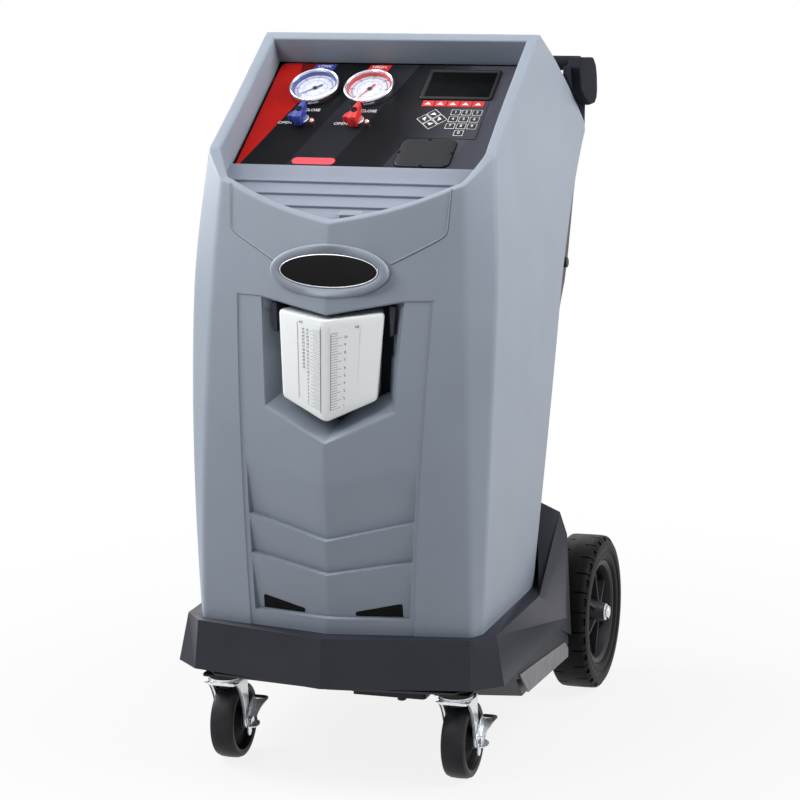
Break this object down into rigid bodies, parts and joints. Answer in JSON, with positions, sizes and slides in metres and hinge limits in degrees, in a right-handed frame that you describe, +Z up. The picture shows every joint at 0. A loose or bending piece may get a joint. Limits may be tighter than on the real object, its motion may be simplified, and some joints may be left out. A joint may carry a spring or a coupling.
{
  "type": "refrigerant recovery machine",
  "caption": "Wheeled refrigerant recovery machine with a sloping gauge and keypad console, pull-out oil bottle, rear tank bay, large rear wheels and braked swivel casters.",
  "frame": {"origin": "floor level, under the middle of the machine's box", "axes": "+Z up, -Y towards the front with the oil bottle, +X to the machine's right as seen from the front"},
  "size_m": [0.5868, 0.762, 1.12],
  "materials": {
    "hood_plastic": "fine moulded grain",
    "charcoal_plastic": "moulded grain",
    "black_sheet": "satin powder coat",
    "panel_film": "printed film",
    "screen_glass": "clear",
    "black_plastic": "moulded",
    "zinc": "bright zinc",
    "chromed": "polished",
    "dial_white": "smooth",
    "tank_paint": "semi gloss",
    "brass_fitting": "machined",
    "aluminium_block": "machined",
    "board": "solder mask",
    "blue_plastic": "moulded",
    "red_plastic": "moulded",
    "rubber_black": "moulded tread"
  },
  "bodies": {
    "machine": {"base_tub": "charcoal_plastic", "chassis_plate": "black_sheet", "undertray": "black_sheet", "shroud": "hood_plastic", "rear_cover": "black_sheet", "control_panel": "panel_film", "display_bezel": "panel_film", "display_screen": "screen_glass", "keypad": "panel_film", "service_cover": "panel_film", "badge_plate": "panel_film", "handle_bracket_left": "charcoal_plastic", "handle_bracket_right": "charcoal_plastic", "handle_bar": "charcoal_plastic", "bottle_holder": "black_plastic", "caster_plates": "zinc", "rear_axle": "zinc", "axle_brackets": "black_sheet", "axle_nuts": "zinc", "gauge_cases": "chromed", "gauge_dials": "dial_white", "gauge_lenses": "screen_glass", "valve_bodies": "chromed", "refrigerant_tank": "tank_paint", "tank_valve": "brass_fitting", "tank_strap": "zinc", "scale_platform": "zinc", "compressor": "black_sheet", "vacuum_pump": "tank_paint", "filter_drier": "tank_paint", "oil_separator": "tank_paint", "manifold_block": "aluminium_block", "condenser": "aluminium_block", "fan_shroud": "black_plastic", "control_board": "board", "bulkhead": "zinc", "power_inlet": "black_plastic", "hose_ports": "brass_fitting", "rear_knobs": "black_plastic"},
    "caster_left": {"caster_fork_left": "zinc", "caster_bolt_left": "zinc"},
    "caster_roller_left": {"caster_wheel_left": "rubber_black"},
    "brake_left": {"brake_pedal_left": "zinc"},
    "rear_wheel_left": {"rear_tyre_left": "rubber_black", "rear_hub_left": "black_plastic"},
    "caster_right": {"caster_fork_right": "zinc", "caster_bolt_right": "zinc"},
    "caster_roller_right": {"caster_wheel_right": "rubber_black"},
    "brake_right": {"brake_pedal_right": "zinc"},
    "rear_wheel_right": {"rear_tyre_right": "rubber_black", "rear_hub_right": "black_plastic"},
    "low_pointer": {"gauge_pointer_low": "blue_plastic"},
    "high_pointer": {"gauge_pointer_high": "red_plastic"},
    "low_valve": {"valve_knob_low": "blue_plastic"},
    "high_valve": {"valve_knob_high": "red_plastic"},
    "fan": {"fan_rotor": "black_plastic"},
    "bottle": {"oil_bottle": "dial_white", "bottle_cap": "black_plastic"},
    "rocker": {"power_switch": "red_plastic"}
  },
  "joints": [
    {"name": "caster_swivel_left", "type": "hinge", "parent": "machine", "child": "caster_left", "pos_m": [-0.19, -0.291, 0.134], "axis": [0, 0, 1], "continuous": true},
    {"name": "caster_spin_left", "type": "hinge", "parent": "caster_left", "child": "caster_roller_left", "pos_m": [-0.19, -0.261, 0.061], "axis": [1, 0, 0], "continuous": true},
    {"name": "brake_tip_left", "type": "hinge", "parent": "caster_left", "child": "brake_left", "pos_m": [-0.19, -0.261, 0.061], "axis": [1, 0, 0], "range_deg": [-12, 8]},
    {"name": "rear_wheel_spin_left", "type": "hinge", "parent": "machine", "child": "rear_wheel_left", "pos_m": [-0.251, 0.251, 0.13], "axis": [1, 0, 0], "continuous": true},
    {"name": "caster_swivel_right", "type": "hinge", "parent": "machine", "child": "caster_right", "pos_m": [0.19, -0.291, 0.134], "axis": [0, 0, 1], "continuous": true},
    {"name": "caster_spin_right", "type": "hinge", "parent": "caster_right", "child": "caster_roller_right", "pos_m": [0.19, -0.261, 0.061], "axis": [1, 0, 0], "continuous": true},
    {"name": "brake_tip_right", "type": "hinge", "parent": "caster_right", "child": "brake_right", "pos_m": [0.19, -0.261, 0.061], "axis": [1, 0, 0], "range_deg": [-12, 8]},
    {"name": "rear_wheel_spin_right", "type": "hinge", "parent": "machine", "child": "rear_wheel_right", "pos_m": [0.251, 0.251, 0.13], "axis": [1, 0, 0], "continuous": true},
    {"name": "low_pointer_turn", "type": "hinge", "parent": "machine", "child": "low_pointer", "pos_m": [-0.127, 0.00899, 1.03615], "axis": [0, -0.5299, 0.848], "range_deg": [-240, 0]},
    {"name": "high_pointer_turn", "type": "hinge", "parent": "machine", "child": "high_pointer", "pos_m": [-0.035, 0.00899, 1.03615], "axis": [0, -0.5299, 0.848], "range_deg": [-240, 0]},
    {"name": "low_valve_turn", "type": "hinge", "parent": "machine", "child": "low_valve", "pos_m": [-0.128, -0.05917, 1.00181], "axis": [0, -0.5299, 0.848], "range_deg": [0, 90]},
    {"name": "high_valve_turn", "type": "hinge", "parent": "machine", "child": "high_valve", "pos_m": [-0.036, -0.05917, 1.00181], "axis": [0, -0.5299, 0.848], "range_deg": [0, 90]},
    {"name": "fan_spin", "type": "hinge", "parent": "machine", "child": "fan", "pos_m": [0, -0.194, 0.262], "axis": [0, 1, 0], "continuous": true},
    {"name": "bottle_pull", "type": "slide", "parent": "machine", "child": "bottle", "axis": [0, -1, 0], "range_m": [0, 0.12]},
    {"name": "power_rock", "type": "hinge", "parent": "machine", "child": "rocker", "pos_m": [-0.165, 0.07524, 0.40743], "axis": [1, 0, 0], "range_deg": [-9, 9]}
  ]
}
